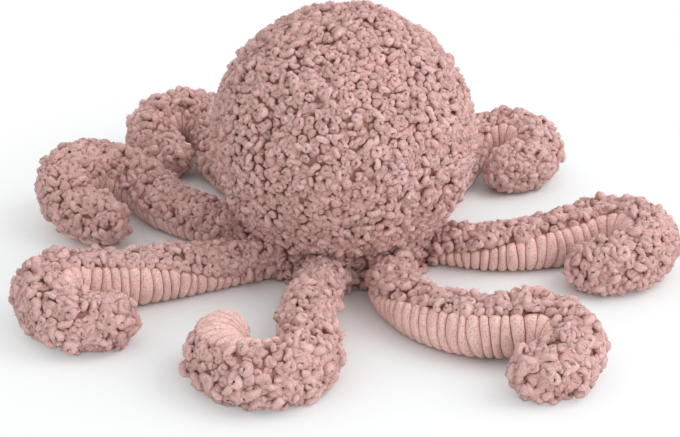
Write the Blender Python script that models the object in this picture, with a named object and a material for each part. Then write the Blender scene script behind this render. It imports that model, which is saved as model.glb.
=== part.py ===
"""Plush octopus, lying on its base with its eight arms curled on the surface around it.

The head is a ball of five pile gores sewn from crown to base over one filling. Each arm is a stuffed
tube of a pile strip and a ribbed strip, twisted as it leaves the head and curled towards its ribbed side.
It bends at the neck, where it is sewn to the head, and where its curl begins.

Metres, +Z up. The origin is the middle of the flat base panel, on the surface that the toy stands on.
The front of the toy is towards -Y.
"""

import math
from collections import namedtuple

import bmesh
import bpy
from mathutils import Matrix, Vector

# Head: a ball whose centre lies a little lower than its radius, on a skirt that narrows to the base seam
HEAD_RADIUS = 0.081
HEAD_SINK = 0.003
HEAD_CENTRE_HEIGHT = HEAD_RADIUS - HEAD_SINK
HEAD_WALL = 0.004
CROWN_RADIUS = 0.0018
SKIRT_TOP_RADIUS = 0.061
BASE_SEAM_RADIUS = 0.046
SEAM_DIP = 0.0014
GORE_NAMES = ("front", "right", "back_right", "back_left", "left")
GORE_COLUMNS = 5
BALL_ROWS = 10
SKIRT_ROWS = 2

# Base panel, whose edge is drawn up into the base seam
BASE_THICKNESS = 0.0027
BASE_EDGE_WIDTH = 0.004
BASE_FLAT_RADIUS = BASE_SEAM_RADIUS - BASE_EDGE_WIDTH

# Band of arm roots, sewn in round the base seam
BAND_TUCK = 0.002
BAND_REACH = 0.010
BAND_INNER_RADIUS = BASE_SEAM_RADIUS - BAND_TUCK
BAND_OUTER_RADIUS = BASE_SEAM_RADIUS + BAND_REACH
BAND_BOTTOM = 0.0006
BAND_TOP = 0.008
TURNED_SIDES = 30
ROOT_INSET = 0.008

# Arms
ARM_LENGTH = 0.220
ARM_OUTSET = 0.006
ARM_START_RADIUS = BASE_SEAM_RADIUS + ARM_OUTSET
FIRST_ARM_ANGLE = -98.0
ROOT_THICKNESS_RADIUS = 0.0128
MIDDLE_THICKNESS_RADIUS = 0.0165
CURL_THICKNESS_RADIUS = 0.0184
TIP_THICKNESS_RADIUS = 0.0165
THICKNESS_SHARES = (0.0, 0.42, 0.68, 0.92)
ARM_WALL = 0.004
RIB_RECESS = 0.0008
FLOOR_CUT = 0.0005
NECK_DISTANCE = 0.022
RISE_WIDTH_SHARE = 0.30
CURL_TIGHTENING_SHARE = 0.15
PILE_COLUMNS = 6
RIB_COLUMNS = 4
SHAFT_ROWS = 5
CURL_ROWS = 8
TIP_ROUND_SHARES = (0.0, 0.55, 0.92)
TIP_PINHOLE_RADIUS = 0.0009

# Bends: how far the neck and the start of the curl turn, and the room that they need
NECK_LIFT = 50.0
CURL_OPENING = 42.0
BEND_ROOM = 0.0006
DOME_STEPS = 2
DOME_CLEARANCE = 0.00035

# Gap between neighbouring pieces
GAP = 0.0003

# Edges that turn by more degrees than this stay sharp
SMOOTHED_TURN = 50.0

# The ribbed side faces down at the neck, and the inside of the curl, a little down, where the curl begins
RIB_ANGLE_AT_NECK = -90.0
RIB_ANGLE_AT_CURL = -22.0

Arm = namedtuple(
    "Arm",
    "name side root_turn bow curl straight_share rise_share rise_middle_share twist_shares tip_rib_angle",
)
ANTICLOCKWISE = 1
CLOCKWISE = -1

# Each arm in turn, anticlockwise from the front one. root_turn and bow are degrees away from the side
# that the arm curls to, at the neck and at the start of the curl. The straight share is of the arm's
# length, the rise share of its greatest thickness, and the twist shares are where the twist starts and ends.
# The tip's rib angle is how far up its ribbed side faces there, in degrees from the inside of the curl.
ARMS = (
    Arm("front", CLOCKWISE, -11, 15, 256, 0.49, 0.15, 1.00, (0.15, 0.60), 80),
    Arm("front_right", CLOCKWISE, -53, 53, 223, 0.64, 0.23, 0.66, (0.04, 0.42), -22),
    Arm("right", CLOCKWISE, -28, 43, 277, 0.45, 0.18, 0.66, (-0.05, 0.38), -4),
    Arm("back_right", CLOCKWISE, 20, 38, 286, 0.45, 0.16, 0.66, (0.28, 0.62), -22),
    Arm("back", ANTICLOCKWISE, -10, 6, 222, 0.50, 0.40, 0.66, (0.10, 0.50), -22),
    Arm("back_left", ANTICLOCKWISE, -15, 28, 286, 0.52, 0.60, 0.66, (0.40, 0.80), -45),
    Arm("left", ANTICLOCKWISE, -5, 53, 272, 0.40, 0.66, 0.66, (-0.30, 1.50), -60),
    Arm("front_left", ANTICLOCKWISE, 11, 16, 236, 0.56, 0.32, 0.66, (0.08, 0.45), -5),
)

PATH_STEPS = 440

Place = namedtuple("Place", "centre along inward up rib_angle")


def clear_scene():
    for old in list(bpy.data.objects):
        bpy.data.objects.remove(old, do_unlink=True)


def make_material(name, colour, roughness):
    material = bpy.data.materials.new(name)
    material.use_nodes = True
    shader = material.node_tree.nodes["Principled BSDF"]
    shader.inputs["Base Color"].default_value = (*colour, 1.0)
    shader.inputs["Roughness"].default_value = roughness
    shader.inputs["Metallic"].default_value = 0.0
    return material


def smooth_share(value):
    """0 below 0, 1 above 1, and an even ease between them."""
    share = min(max(value, 0.0), 1.0)
    return share * share * (3.0 - 2.0 * share)


def make_piece(name, shape, material, parent=None):
    """One closed solid as an object of its own, its origin on its parent's pivot."""
    bmesh.ops.recalc_face_normals(shape, faces=shape.faces)
    if parent is not None:
        shape.transform(parent.matrix_basis.inverted())
    mesh = bpy.data.meshes.new(name)
    shape.to_mesh(mesh)
    shape.free()
    mesh.shade_smooth()
    mesh.set_sharp_from_angle(angle=math.radians(SMOOTHED_TURN))
    piece = bpy.data.objects.new(name, mesh)
    piece.data.materials.append(material)
    bpy.context.scene.collection.objects.link(piece)
    if parent is not None:
        piece.parent = parent
    return piece


def join_rows(shape, lower, upper, closed):
    """Two triangles between each pair of neighbours, cut the same way each time, so layers stay parallel."""
    count = len(lower)
    for index in range(count if closed else count - 1):
        following = (index + 1) % count
        shape.faces.new((lower[index], lower[following], upper[following]))
        shape.faces.new((lower[index], upper[following], upper[index]))


def loft_rings(rings, start_point, end_point):
    """A closed solid through rings of points, with a fan to one point at each end."""
    shape = bmesh.new()
    rows = [[shape.verts.new(point) for point in ring] for ring in rings]
    for lower, upper in zip(rows, rows[1:]):
        join_rows(shape, lower, upper, True)
    for ring, point in ((rows[0], start_point), (rows[-1], end_point)):
        tip = shape.verts.new(point)
        for index, corner in enumerate(ring):
            shape.faces.new((corner, ring[(index + 1) % len(ring)], tip))
    return shape


def loft_wall(outer_rows, inner_rows):
    """A closed sheet with thickness, from matching open rows of its outer and inner side."""
    shape = bmesh.new()
    outer = [[shape.verts.new(point) for point in row] for row in outer_rows]
    inner = [[shape.verts.new(point) for point in row] for row in inner_rows]
    for rows in (outer, inner):
        for lower, upper in zip(rows, rows[1:]):
            join_rows(shape, lower, upper, False)
    for outer_end, inner_end in ((outer[0], inner[0]), (outer[-1], inner[-1])):
        join_rows(shape, outer_end, inner_end, False)
    for column in (0, -1):
        join_rows(shape, [row[column] for row in outer], [row[column] for row in inner], False)
    return shape


def head_profile(inset):
    """Radius and height of the head from crown to base seam, this far inside its surface."""
    skirt_angle = math.pi - math.asin(SKIRT_TOP_RADIUS / HEAD_RADIUS)
    crown_angle = math.asin(CROWN_RADIUS / HEAD_RADIUS)
    seam_height = BASE_THICKNESS + GAP
    points = []
    for row in range(BALL_ROWS + 1):
        angle = crown_angle + (skirt_angle - crown_angle) * row / BALL_ROWS
        reach = HEAD_RADIUS - inset
        points.append((reach * math.sin(angle), HEAD_CENTRE_HEIGHT + reach * math.cos(angle)))
    top_radius, top_height = points[-1]
    for row in range(1, SKIRT_ROWS + 1):
        share = row / SKIRT_ROWS
        radius = top_radius + (BASE_SEAM_RADIUS - inset - top_radius) * share
        points.append((radius, top_height + (seam_height - top_height) * share))
    return points


def gore_shape(gore):
    """One gore: a crowned panel between two seams, which lie a little deeper than its middle."""
    span = math.tau / len(GORE_NAMES)
    start = -math.pi / 2 + span * (gore - 0.5)

    def side(profile, dip):
        rows = []
        for radius, height in profile:
            seam = GAP / 2 / radius
            row = []
            for column in range(GORE_COLUMNS + 1):
                share = column / GORE_COLUMNS
                angle = start + seam + (span - 2 * seam) * share
                across = abs(2 * share - 1) ** 3
                reach = radius * (1 - dip * across / HEAD_RADIUS)
                row.append(Vector((reach * math.cos(angle), reach * math.sin(angle), height)))
            rows.append(row)
        return rows

    return loft_wall(side(head_profile(0), SEAM_DIP), side(head_profile(HEAD_WALL), 0))


def head_filling_shape():
    columns = GORE_COLUMNS * len(GORE_NAMES)
    start = -math.pi / 2 - math.pi / len(GORE_NAMES)
    rings = []
    for radius, height in head_profile(HEAD_WALL + GAP):
        angles = [start + math.tau * column / columns for column in range(columns)]
        rings.append([Vector((radius * math.cos(a), radius * math.sin(a), height)) for a in angles])
    crown_height = HEAD_CENTRE_HEIGHT + HEAD_RADIUS - HEAD_WALL - GAP
    return loft_rings(rings, Vector((0, 0, crown_height)), Vector((0, 0, BASE_THICKNESS + GAP)))


def turned_ring(radius, height, sides):
    angles = [math.tau * index / sides for index in range(sides)]
    return [Vector((radius * math.cos(a), radius * math.sin(a), height)) for a in angles]


def base_panel_shape():
    """A flat round panel with its edge drawn up into the seam."""
    rings = [
        turned_ring(BASE_FLAT_RADIUS, 0, TURNED_SIDES),
        turned_ring(BASE_SEAM_RADIUS - GAP, BASE_THICKNESS / 2, TURNED_SIDES),
        turned_ring(BASE_SEAM_RADIUS - GAP, BASE_THICKNESS, TURNED_SIDES),
    ]
    return loft_rings(rings, Vector((0, 0, 0)), Vector((0, 0, BASE_THICKNESS)))


def head_cutter_shape():
    """The space that the head and the base panel take, with the gap around them."""
    profile = head_profile(-GAP)
    rings = [turned_ring(radius, height, TURNED_SIDES) for radius, height in profile[2:]]
    lowest = -ROOT_THICKNESS_RADIUS
    rings.append(turned_ring(BASE_SEAM_RADIUS + GAP, lowest, TURNED_SIDES))
    top = HEAD_CENTRE_HEIGHT + HEAD_RADIUS
    return loft_rings(rings, Vector((0, 0, top)), Vector((0, 0, lowest)))


def root_band_shape():
    """The band that runs round under the head and holds the arm roots together."""
    shape = bmesh.new()
    corners = (
        (BAND_INNER_RADIUS, BAND_BOTTOM),
        (BAND_OUTER_RADIUS, BAND_BOTTOM),
        (BAND_OUTER_RADIUS, BAND_TOP),
        (BAND_INNER_RADIUS, BAND_TOP),
    )
    rings = []
    for radius, height in corners:
        rings.append([shape.verts.new(point) for point in turned_ring(radius, height, TURNED_SIDES)])
    for ring, following in zip(rings, rings[1:] + rings[:1]):
        join_rows(shape, ring, following, True)
    return shape


def arm_angle(arm):
    return math.radians(FIRST_ARM_ANGLE + 360.0 / len(ARMS) * ARMS.index(arm))


def arm_thickness(share):
    """Radius of the stuffed arm, before its tip rounds off, at a share of its length."""
    radii = (ROOT_THICKNESS_RADIUS, MIDDLE_THICKNESS_RADIUS, CURL_THICKNESS_RADIUS, TIP_THICKNESS_RADIUS)
    for index in range(1, len(radii)):
        if share <= THICKNESS_SHARES[index]:
            before, after = THICKNESS_SHARES[index - 1], THICKNESS_SHARES[index]
            eased = smooth_share((share - before) / (after - before))
            return radii[index - 1] + (radii[index] - radii[index - 1]) * eased
    return radii[-1]


def arm_heading(arm, share):
    """Direction of the arm seen from above: a slow bow, then the curl, a little tighter towards the tip."""
    straight = min(share / arm.straight_share, 1.0)
    away = arm.root_turn + (arm.bow - arm.root_turn) * straight
    curled = max(share - arm.straight_share, 0.0) / (1.0 - arm.straight_share)
    eased = curled * (1.0 - CURL_TIGHTENING_SHARE / 2 * (1.0 - curled))
    return arm_angle(arm) + arm.side * math.radians(arm.curl * eased - away)


def arm_height(arm, share):
    """Height of the arm's middle: its thickness, and the hump where the curl lifts off the surface."""
    hump = (share - arm.rise_middle_share) / RISE_WIDTH_SHARE
    lift = math.cos(hump * math.pi / 2) ** 2 if abs(hump) < 1 else 0.0
    resting = arm_thickness(share) - RIB_RECESS - FLOOR_CUT
    return resting + arm.rise_share * CURL_THICKNESS_RADIUS * lift


def arm_path(arm):
    """Points along the middle of the arm, PATH_STEPS even steps apart, from the head to the tip."""
    angle = arm_angle(arm)
    position = Vector((math.cos(angle), math.sin(angle), 0)) * ARM_START_RADIUS
    step = ARM_LENGTH / PATH_STEPS
    points = []
    for index in range(PATH_STEPS + 1):
        share = index / PATH_STEPS
        points.append(Vector((position.x, position.y, arm_height(arm, share))))
        heading = arm_heading(arm, share + 0.5 / PATH_STEPS)
        position += Vector((math.cos(heading), math.sin(heading), 0)) * step
    return points


def arm_place(arm, path, distance):
    """Centre and directions of the arm's cross-section at a distance along it."""
    share = distance / ARM_LENGTH
    exact = min(max(share, 0.0), 1.0) * PATH_STEPS
    index = min(int(exact), PATH_STEPS - 1)
    centre = path[index].lerp(path[index + 1], exact - index)
    heading = arm_heading(arm, share)
    rise = path[index + 1].z - path[index].z
    slope = math.atan2(rise, ARM_LENGTH / PATH_STEPS)
    level = Vector((math.cos(heading), math.sin(heading), 0))
    along = level * math.cos(slope) + Vector((0, 0, math.sin(slope)))
    inward = Vector((-level.y, level.x, 0)) * arm.side
    up = along.cross(inward) * arm.side
    first, last = arm.twist_shares
    twist = smooth_share((share - first) / (last - first))
    curled = smooth_share((share - arm.straight_share) / (1.0 - arm.straight_share))
    rib_angle = RIB_ANGLE_AT_NECK + (RIB_ANGLE_AT_CURL - RIB_ANGLE_AT_NECK) * twist
    rib_angle += (arm.tip_rib_angle - RIB_ANGLE_AT_CURL) * curled
    return Place(centre, along, inward, up, math.radians(rib_angle))


def section_point(place, shift, radius, angle):
    """A point of the cross-section, drawn in where it would reach below the surface that the toy lies on."""
    turn = place.rib_angle + angle
    across = place.inward * math.cos(turn) + place.up * math.sin(turn)
    middle = place.centre + place.along * shift
    reach = min(radius, -middle.z / across.z) if across.z < 0 else radius
    return middle + across * reach


def seat_place(arm, path, distance):
    """The directions at a bend, with the twist that the arm has where its stretch before the bend ends."""
    twisted = arm_place(arm, path, distance - seat_depth(distance))
    return arm_place(arm, path, distance)._replace(rib_angle=twisted.rib_angle)


def column_angles(first, last, columns):
    return [first + (last - first) * index / columns for index in range(columns + 1)]


def rib_half_width():
    return math.pi * RIB_COLUMNS / (RIB_COLUMNS + PILE_COLUMNS)


def strip_angles(is_pile, radius):
    """Angles across a strip, from the middle of the ribbed side, with half of the seam's gap at each edge."""
    seam = GAP / 2 / radius
    half = rib_half_width()
    if is_pile:
        return column_angles(half + seam, math.tau - half - seam, PILE_COLUMNS)
    return column_angles(seam - half, half - seam, RIB_COLUMNS)


def bend_dome_radius(distance):
    return arm_thickness(distance / ARM_LENGTH)


def facet_share():
    """The middle of a facet's distance from the arm's middle, as a share of its corners' distance."""
    return math.cos(math.pi / (PILE_COLUMNS + RIB_COLUMNS))


def seat_depth(distance):
    """From a bend to the flat floor of the hollow seat that the dome turns in."""
    return bend_dome_radius(distance) + DOME_CLEARANCE


def seat_shift(distance, radius):
    """Where the seat's side, which slopes at 45 degrees and just clears the dome, has this radius."""
    return radius * facet_share() - math.sqrt(2) * seat_depth(distance)


def bend_setback(distance, turn):
    """How far short of a bend the carrying piece stops, clear of the piece that turns and of its dome."""
    dome = bend_dome_radius(distance)
    pinch = dome * math.tan(math.radians(turn) / 2) + BEND_ROOM
    rim_facet = (dome - RIB_RECESS) * facet_share()
    return max(pinch, math.sqrt((dome + BEND_ROOM) ** 2 - rim_facet**2))


def strip_shape(arm, path, start, end, end_turn, is_pile):
    """A strip from a bend at start to the setback of the bend at end or, with no turn there, to the tip."""
    outer_rows = []
    inner_rows = []

    def add_row(place, outer_shift, outer_radius, relief, inner_shift, inner_radius):
        outer_angles = strip_angles(is_pile, outer_radius)
        radii = [outer_radius - relief] * len(outer_angles)
        if is_pile:
            radii[1:-1] = [outer_radius] * (len(outer_angles) - 2)
        outer = zip(radii, outer_angles)
        inner_angles = strip_angles(is_pile, inner_radius)
        outer_rows.append([section_point(place, outer_shift, radius, angle) for radius, angle in outer])
        inner_rows.append([section_point(place, inner_shift, inner_radius, angle) for angle in inner_angles])

    if end_turn:
        setback = bend_setback(end, end_turn)
        last_row = end - seat_depth(end)
        rows = SHAFT_ROWS
    else:
        last_row = end - TIP_THICKNESS_RADIUS
        rows = CURL_ROWS
    for row in range(rows):
        distance = start + GAP + (last_row - start - GAP) * row / rows
        radius = arm_thickness(distance / ARM_LENGTH)
        add_row(arm_place(arm, path, distance), 0, radius, RIB_RECESS, 0, radius - ARM_WALL)
    if end_turn:
        place = seat_place(arm, path, end)
        radius = arm_thickness((end - setback) / ARM_LENGTH)
        inner_radius = radius - ARM_WALL
        add_row(place, -setback, radius, RIB_RECESS, seat_shift(end, inner_radius), inner_radius)
    else:
        for share in TIP_ROUND_SHARES:
            round_off = math.sqrt(1.0 - share * share)
            radius = TIP_THICKNESS_RADIUS * round_off
            inner_radius = max(radius - ARM_WALL, TIP_PINHOLE_RADIUS)
            place = arm_place(arm, path, last_row + TIP_THICKNESS_RADIUS * share)
            add_row(place, 0, radius, RIB_RECESS * round_off, 0, inner_radius)
    return loft_wall(outer_rows, inner_rows)


def full_ring(place, shift, radius):
    sides = PILE_COLUMNS + RIB_COLUMNS
    half = rib_half_width()
    angles = [half + math.tau * index / sides for index in range(sides)]
    return [section_point(place, shift, radius, angle) for angle in angles]


def dome_rings(place, radius):
    """Rings of a half ball that points back along the arm, from near its pole to its rim."""
    rings = []
    for step in range(1, DOME_STEPS + 1):
        angle = math.pi / 2 * step / DOME_STEPS
        rings.append(full_ring(place, -radius * math.cos(angle), radius * math.sin(angle)))
    return rings


def seat_rings(place, distance, rim_shift, rim_radius):
    """The rim of the hollow seat for such a half ball, and the edge of its flat floor."""
    depth = seat_depth(distance)
    floor_radius = depth * math.tan(math.pi / 8) / facet_share()
    return [full_ring(place, rim_shift, rim_radius), full_ring(place, -depth, floor_radius)]


def filling_shape(arm, path, start, end, end_turn):
    """The stuffing of one stretch, with a rounded end that turns in the stretch before it."""
    start_place = arm_place(arm, path, start)
    dome = bend_dome_radius(start)
    rings = dome_rings(start_place, dome)
    rings.append(full_ring(start_place, 0, dome - ARM_WALL - GAP))
    if end_turn:
        last_row = end - seat_depth(end)
        rows = SHAFT_ROWS
    else:
        last_row = end - TIP_THICKNESS_RADIUS
        rows = CURL_ROWS
    for row in range(1, rows):
        distance = start + GAP + (last_row - start - GAP) * row / rows
        radius = arm_thickness(distance / ARM_LENGTH) - ARM_WALL - GAP
        rings.append(full_ring(arm_place(arm, path, distance), 0, radius))
    if end_turn:
        end_place = seat_place(arm, path, end)
        rim = arm_thickness((end - bend_setback(end, end_turn)) / ARM_LENGTH) - ARM_WALL - GAP
        rings.extend(seat_rings(end_place, end, seat_shift(end, rim), rim))
        end_point = end_place.centre - end_place.along * seat_depth(end)
    else:
        for share in TIP_ROUND_SHARES[:-1]:
            radius = TIP_THICKNESS_RADIUS * math.sqrt(1.0 - share * share) - ARM_WALL - GAP
            end_place = arm_place(arm, path, last_row + TIP_THICKNESS_RADIUS * share)
            rings.append(full_ring(end_place, 0, radius))
        end_point = end_place.centre
    return loft_rings(rings, start_place.centre - start_place.along * dome, end_point)


def root_shape(arm, path):
    """The sewn end of an arm, from inside the band to the seat that its shaft turns in."""
    setback = bend_setback(NECK_DISTANCE, NECK_LIFT)
    first_place = arm_place(arm, path, 0)
    neck_place = seat_place(arm, path, NECK_DISTANCE)
    thickness = arm_thickness((NECK_DISTANCE - setback) / ARM_LENGTH)
    rim = thickness - RIB_RECESS - FLOOR_CUT
    rim_shift = min(seat_shift(NECK_DISTANCE, rim), -setback)
    rings = [
        full_ring(first_place, -ROOT_INSET, ROOT_THICKNESS_RADIUS),
        full_ring(first_place, 0, ROOT_THICKNESS_RADIUS),
        full_ring(neck_place, rim_shift, thickness),
    ]
    rings.extend(seat_rings(neck_place, NECK_DISTANCE, rim_shift, rim))
    back = first_place.centre - first_place.along * ROOT_INSET
    return loft_rings(rings, back, neck_place.centre - neck_place.along * seat_depth(NECK_DISTANCE))


def make_cutter(name, shape, material):
    cutter = make_piece(name, shape, material)
    cutter.hide_render = True
    cutter.display_type = "WIRE"
    return cutter


def add_boolean(piece, other, operation):
    modifier = piece.modifiers.new(f"{operation.lower()}_{other.name}", "BOOLEAN")
    modifier.operation = operation
    modifier.solver = "EXACT"
    modifier.object = other


def make_pivot(name, place, parent=None):
    """An empty on a bend, its X axis along the arm and its Z axis up."""
    pivot = bpy.data.objects.new(name, None)
    pivot.empty_display_size = CURL_THICKNESS_RADIUS
    heading = math.atan2(place.along.y, place.along.x)
    pivot.matrix_basis = Matrix.Translation(place.centre) @ Matrix.Rotation(heading, 4, "Z")
    bpy.context.scene.collection.objects.link(pivot)
    if parent is not None:
        pivot.parent = parent
        pivot.matrix_parent_inverse = parent.matrix_basis.inverted()
    return pivot


def curl_distance(arm):
    return arm.straight_share * ARM_LENGTH


def make_head(pile, stuffing, base_cloth):
    for gore, name in enumerate(GORE_NAMES):
        make_piece(f"head_gore_{name}", gore_shape(gore), pile)
    make_piece("head_filling", head_filling_shape(), stuffing)
    make_piece("base_panel", base_panel_shape(), base_cloth)


def make_root_ring(pile):
    """All arm roots and the band that joins them, fitted round the head."""
    ring = make_piece("arm_root_ring", root_band_shape(), pile)
    for arm in ARMS:
        root = make_cutter(f"{arm.name}_root_form", root_shape(arm, arm_path(arm)), pile)
        add_boolean(ring, root, "UNION")
    add_boolean(ring, make_cutter("head_form", head_cutter_shape(), pile), "DIFFERENCE")


def make_arm(arm, pile, ribbed, stuffing):
    path = arm_path(arm)
    bend = curl_distance(arm)
    neck_pivot = make_pivot(f"{arm.name}_lift_pivot", arm_place(arm, path, NECK_DISTANCE))
    curl_pivot = make_pivot(f"{arm.name}_curl_pivot", arm_place(arm, path, bend), neck_pivot)
    stretches = (
        ("arm", NECK_DISTANCE, bend, CURL_OPENING, neck_pivot),
        ("curl", bend, ARM_LENGTH, 0, curl_pivot),
    )
    for stretch, start, end, end_turn, pivot in stretches:
        span = (arm, path, start, end, end_turn)
        prefix = f"{arm.name}_{stretch}"
        make_piece(f"{prefix}_pile_strip", strip_shape(*span, True), pile, pivot)
        make_piece(f"{prefix}_rib_strip", strip_shape(*span, False), ribbed, pivot)
        make_piece(f"{prefix}_filling", filling_shape(*span), stuffing, pivot)


def main():
    clear_scene()
    pile = make_material("pile", (0.52, 0.31, 0.28), 0.95)
    ribbed = make_material("ribbed", (0.66, 0.41, 0.36), 0.85)
    stuffing = make_material("stuffing", (0.86, 0.85, 0.82), 0.9)
    base_cloth = make_material("base_cloth", (0.60, 0.37, 0.33), 0.9)
    make_head(pile, stuffing, base_cloth)
    make_root_ring(pile)
    for arm in ARMS:
        make_arm(arm, pile, ribbed, stuffing)


main()
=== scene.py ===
"""The looks of a plush octopus: woolly pile locks, puffed corduroy ribs, a pale floor, soft light, a camera.

Metres, +Z up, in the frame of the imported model. The forms repeat the values of the part's own source.
"""

import math
from collections import namedtuple

import bpy
import numpy as np
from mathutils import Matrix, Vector


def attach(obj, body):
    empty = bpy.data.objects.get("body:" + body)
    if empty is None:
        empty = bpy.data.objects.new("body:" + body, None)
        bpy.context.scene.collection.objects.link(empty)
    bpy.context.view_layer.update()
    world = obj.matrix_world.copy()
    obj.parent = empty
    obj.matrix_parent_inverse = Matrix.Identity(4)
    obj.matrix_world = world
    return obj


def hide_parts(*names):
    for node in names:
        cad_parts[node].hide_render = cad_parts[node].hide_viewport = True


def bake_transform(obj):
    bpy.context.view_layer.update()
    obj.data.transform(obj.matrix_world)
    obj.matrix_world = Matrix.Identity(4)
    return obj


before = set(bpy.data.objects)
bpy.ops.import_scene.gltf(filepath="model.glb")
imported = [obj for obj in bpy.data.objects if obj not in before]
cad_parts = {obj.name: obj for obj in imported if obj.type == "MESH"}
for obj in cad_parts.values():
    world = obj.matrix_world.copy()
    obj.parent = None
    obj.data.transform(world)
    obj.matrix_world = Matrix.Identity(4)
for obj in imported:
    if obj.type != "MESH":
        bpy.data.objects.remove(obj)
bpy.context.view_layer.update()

chance = np.random.default_rng(9)


def screen_colour(red, green, blue):
    """A colour as a screen shows it, from 0 to 255, as the shader takes it."""
    values = []
    for part in (red, green, blue):
        share = part / 255.0
        values.append(share / 12.92 if share <= 0.04045 else ((share + 0.055) / 1.055) ** 2.4)
    return (*values, 1.0)


# Head, as in the part
HEAD_RADIUS = 0.081
HEAD_CENTRE_HEIGHT = 0.078
SKIRT_TOP_RADIUS = 0.061
BASE_SEAM_RADIUS = 0.046
BASE_THICKNESS = 0.0027
GORE_NAMES = ("front", "right", "back_right", "back_left", "left")
SKIRT_EASE_RATE = 3.0

# Backing of the head under its pile, drawn in at the seams
HEAD_SKIN_LIFT = -0.0044
SEAM_DEPTH = 0.0016
SEAM_WIDTH = 0.005
HEAD_ROWS = 59
HEAD_COLUMNS = 150

# Band of arm roots, as in the part
BAND_INNER_RADIUS = 0.044
BAND_OUTER_RADIUS = 0.056
BAND_BOTTOM = 0.0006
BAND_TOP = 0.008
BAND_ROWS = 14
BAND_COLUMNS = 90
BAND_LOCK_TRIALS = 4000
BAND_LOCK_TURNS = (-1.1, 1.4)

# Base panel: radius and height of each ring of its cloth, and the puckers in its outer rings
BASE_RINGS = (
    (0.012, 0.0),
    (0.024, 0.0),
    (0.036, 0.0),
    (0.041, 0.0),
    (0.0435, 0.0004),
    (0.0452, 0.0013),
    (0.0455, 0.0025),
)
BASE_COLUMNS = 120
FIRST_PUCKERED_RING = 5
PUCKERS = 40
PUCKER_SHARE = 0.012

# Arms, as in the part
ARM_LENGTH = 0.220
ARM_START_RADIUS = 0.052
ROOT_INSET = 0.008
FIRST_ARM_ANGLE = -98.0
CURL_THICKNESS_RADIUS = 0.0184
TIP_THICKNESS_RADIUS = 0.0165
THICKNESS_RADII = (0.0128, 0.0165, CURL_THICKNESS_RADIUS, TIP_THICKNESS_RADIUS)
THICKNESS_SHARES = (0.0, 0.42, 0.68, 0.92)
FLOOR_SINK = 0.0013
NECK_DISTANCE = 0.022
NECK_RINGS = 12
RISE_WIDTH_SHARE = 0.30
CURL_TIGHTENING_SHARE = 0.15
RIB_HALF_ANGLE = 72.0
RIB_ANGLE_AT_NECK = -90.0
RIB_ANGLE_AT_CURL = -22.0
PATH_STEPS = 440
TIP_START = ARM_LENGTH - TIP_THICKNESS_RADIUS
TRAVEL_LENGTH = TIP_START + TIP_THICKNESS_RADIUS * math.pi / 2

Arm = namedtuple(
    "Arm",
    "name side root_turn bow curl straight_share rise_share rise_middle_share twist_shares tip_rib_angle",
)
ANTICLOCKWISE = 1
CLOCKWISE = -1
ARMS = (
    Arm("front", CLOCKWISE, -11, 15, 256, 0.49, 0.15, 1.00, (0.15, 0.60), 80),
    Arm("front_right", CLOCKWISE, -53, 53, 223, 0.64, 0.23, 0.66, (0.04, 0.42), -22),
    Arm("right", CLOCKWISE, -28, 43, 277, 0.45, 0.18, 0.66, (-0.05, 0.38), -4),
    Arm("back_right", CLOCKWISE, 20, 38, 286, 0.45, 0.16, 0.66, (0.28, 0.62), -22),
    Arm("back", ANTICLOCKWISE, -10, 6, 222, 0.50, 0.40, 0.66, (0.10, 0.50), -22),
    Arm("back_left", ANTICLOCKWISE, -15, 28, 286, 0.52, 0.60, 0.66, (0.40, 0.80), -45),
    Arm("left", ANTICLOCKWISE, -5, 53, 272, 0.40, 0.66, 0.66, (-0.30, 1.50), -60),
    Arm("front_left", ANTICLOCKWISE, 11, 16, 236, 0.56, 0.32, 0.66, (0.08, 0.45), -5),
)

# Corduroy ribs across the arm, measured along the arm's middle, and the backing on its other side
RIB_PITCH = 0.0062
NECK_PITCH_SHARE = 0.80
NECK_PITCH_LENGTH = 0.060
EVEN_RIB_ANGLE = 55.0
EVEN_RIB_SHARES = (0.42, 1.2)
RIB_UNEVEN_PITCH_SHARE = 0.09
RIB_SWAY = 0.0008
RIB_HEIGHT = 0.0042
RIB_TOP_LIFT = 0.0010
RIB_FULLNESS = 0.60
RIB_END_LENGTH = 0.0030
RIB_END_ROUND = 0.0026
RIB_UNEVEN_SHARE = 0.10
RIB_LEAST_PINCH_SHARE = 0.12
RIB_PINCH_POWER = 0.6
RIB_STEPS = 10
RIB_COLUMNS = 28
BACKING_COLUMNS = 14
BACKING_LIFT = -0.0030

# Where an arm's neck and the start of its curl bend
NECK_BEND_HALF = 0.016
CURL_BEND_BEFORE = 0.022
CURL_BEND_TURN = 75.0

# Where the locks of the pile stand
LOCK_SPACING = 0.0046
LOCK_TRIALS = 22
LOCK_SIZE_SHARES = (0.78, 1.22)
HEAD_LOCK_SHARE = 0.84
LOCK_ROOT_LIFT = -0.0040
HEAD_ROOT_LIFT = -0.0050
LOCK_STANDS = (-0.0004, 0.0018)
LOCK_TILT = 0.26
LOCK_EDGE = 0.0012
CROWDED_ARMS = ("back_left", "back_right")
CROWDED_PILE_DIP = 0.0010

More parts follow.
